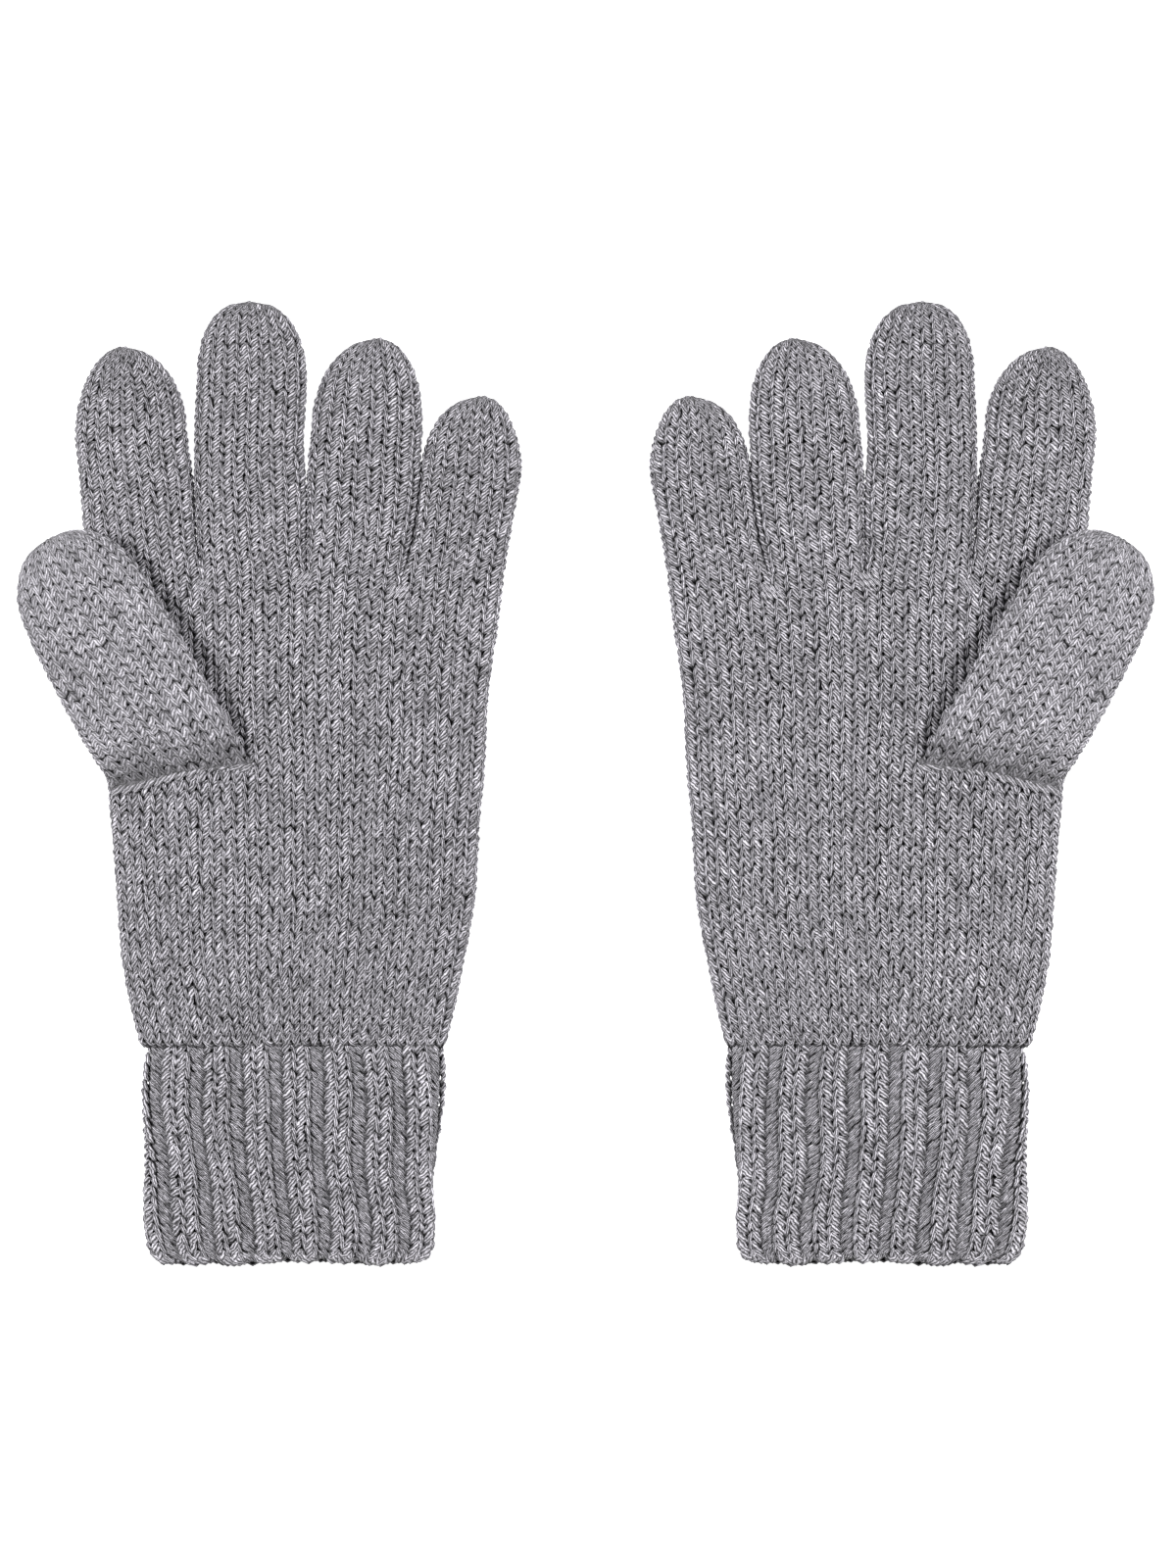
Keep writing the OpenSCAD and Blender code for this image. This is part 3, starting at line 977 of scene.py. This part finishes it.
def link_cuff(knit, chance):
    """The ring of stitches that links the cuff to the hand."""
    row = (HEM_Y - 1.2) / CUFF_TOP * cuff.rows
    # the linking row is painted darker, as the painted shadow that the hand's hem casts on it
    lay_yarn(knit, cuff, purl_bump, 0.8, 0.6, cells_of(range(CUFF_COLUMNS), [row]), chance, 0.35, -0.45)


def link_thumb(knit, chance):
    """Two lines of sewing along the thumb's crease: a dark one down in it, painted dark as the shade in the
    crease, and a lighter one beside it.
    """
    for drop, rise, lightness in ((-0.4, -0.2, 0.3), (-2.0, 0.35, 0.75)):
        crease = [(x, y + drop, PALM_TOP + rise) for x, y in THUMB_CREASE]
        sew(knit, crease, 13, 0.85, 0.6, chance, 1.8, 0.2, lightness=lightness)


def close_gap(knit, chance, start, end):
    """Two short lines of raised stitches where two fingers part."""
    for step in range(2):
        up = 1.7 * step
        line = [(start[0] + 0.5 * step, start[1] + up, GLOVE_T - 0.6), (end[0], end[1] + up, GLOVE_T - 0.6)]
        sew(knit, line, 4, 0.72, 0.6, chance, 1.7, 0.5, lightness=1.1)


def close_tip(knit, chance, sleeve):
    """The small knot that draws the last loops of a tip together."""
    middle = sleeve.points[-1].mean(axis=0)
    beside = sleeve.points[-1, 0] - middle
    beside = beside / np.linalg.norm(beside)
    back = sleeve.points[-3].mean(axis=0) - middle
    for step in (-1, 1):
        ends = [middle + beside * reach + back * 0.3 + [0, 0, 0.45 * step * reach] for reach in (-1.5, 1.5)]
        sew(knit, ends, 2, 0.7, 0.6, chance, 0.3, lightness=0.8)


def sew_joins():
    """The yarns that join cuff to hand, thumb to palm, finger to finger, and that close each tip."""
    chance = np.random.default_rng(601)
    joins = {node: Knit() for node in ("cuff_join", "thumb_join")}
    link_cuff(joins["cuff_join"], chance)
    link_thumb(joins["thumb_join"], chance)
    for name, (start, end) in CROTCHES.items():
        joins[f"{name}_join"] = Knit()
        close_gap(joins[f"{name}_join"], chance, start, end)
    for name, sleeve in [*fingers.items(), ("thumb", thumb)]:
        joins[f"{name}_closing"] = Knit()
        close_tip(joins[f"{name}_closing"], chance, sleeve)
    for node, knit in joins.items():
        for side in ("left", "right"):
            piece = knit.make(f"{side}_{node}_yarn", side == "right")
            finish_piece(piece, "join_yarn", [f"{side}_{node}"])
            digit = node.replace("_closing", "")
            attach(piece, f"{side}_{digit}_upper" if digit != node else f"{side}_palm")


knit_hand()
knit_cuff()
for finger_name in FINGERS:
    knit_finger(finger_name)
knit_thumb()
sew_joins()

# ---- Floor, light and camera ----


def plain_floor():
    """A wide white floor, just under the gloves, that glows enough to show no grey shadow."""
    bpy.ops.object.select_all(action="DESELECT")
    bpy.ops.mesh.primitive_plane_add(size=6, location=(0, 0, -0.0003))
    floor = bpy.context.object
    floor.name = "pale_floor"
    material, nodes, links = new_material("pale_floor")
    surface = nodes.new("ShaderNodeBsdfPrincipled")
    surface.inputs["Base Color"].default_value = (0.8, 0.8, 0.8, 1)
    surface.inputs["Roughness"].default_value = 0.9
    surface.inputs["Emission Color"].default_value = (1, 1, 1, 1)
    surface.inputs["Emission Strength"].default_value = 0.92
    output = nodes.new("ShaderNodeOutputMaterial")
    links.new(surface.outputs[0], output.inputs[0])
    floor.data.materials.append(material)


def soft_light(name, place, size, power):
    """A round softbox that points at the middle of the pair."""
    data = bpy.data.lights.new(name, "AREA")
    data.shape = "DISK"
    data.size = size
    data.energy = power
    lamp = bpy.data.objects.new(name, data)
    lamp.location = place
    lamp.rotation_euler = (-Vector(place)).to_track_quat("-Z", "Y").to_euler()
    bpy.context.scene.collection.objects.link(lamp)


def studio():
    """Even pale light from all round, and a softbox on each side."""
    world = bpy.data.worlds.new("studio")
    world.use_nodes = True
    world.node_tree.nodes["Background"].inputs["Color"].default_value = (1, 1, 1, 1)
    world.node_tree.nodes["Background"].inputs["Strength"].default_value = 0.13
    bpy.context.scene.world = world
    for name, x in (("left_softbox", -0.75), ("right_softbox", 0.75)):
        soft_light(name, (x, 0.12, 0.95), size=0.25, power=12.0)
    bpy.context.scene.view_settings.view_transform = "Standard"


def straight_down_camera():
    """A camera high above the gloves, whose view is so tall at the floor."""
    distance, tall = 2.4, 0.4
    data = bpy.data.cameras.new("straight_down")
    data.sensor_width = 36
    data.lens = 36 * distance / tall
    camera = bpy.data.objects.new("straight_down", data)
    camera.location = (0.0006, -0.0003, distance)
    bpy.context.scene.collection.objects.link(camera)
    bpy.context.scene.camera = camera


plain_floor()
studio()
straight_down_camera()
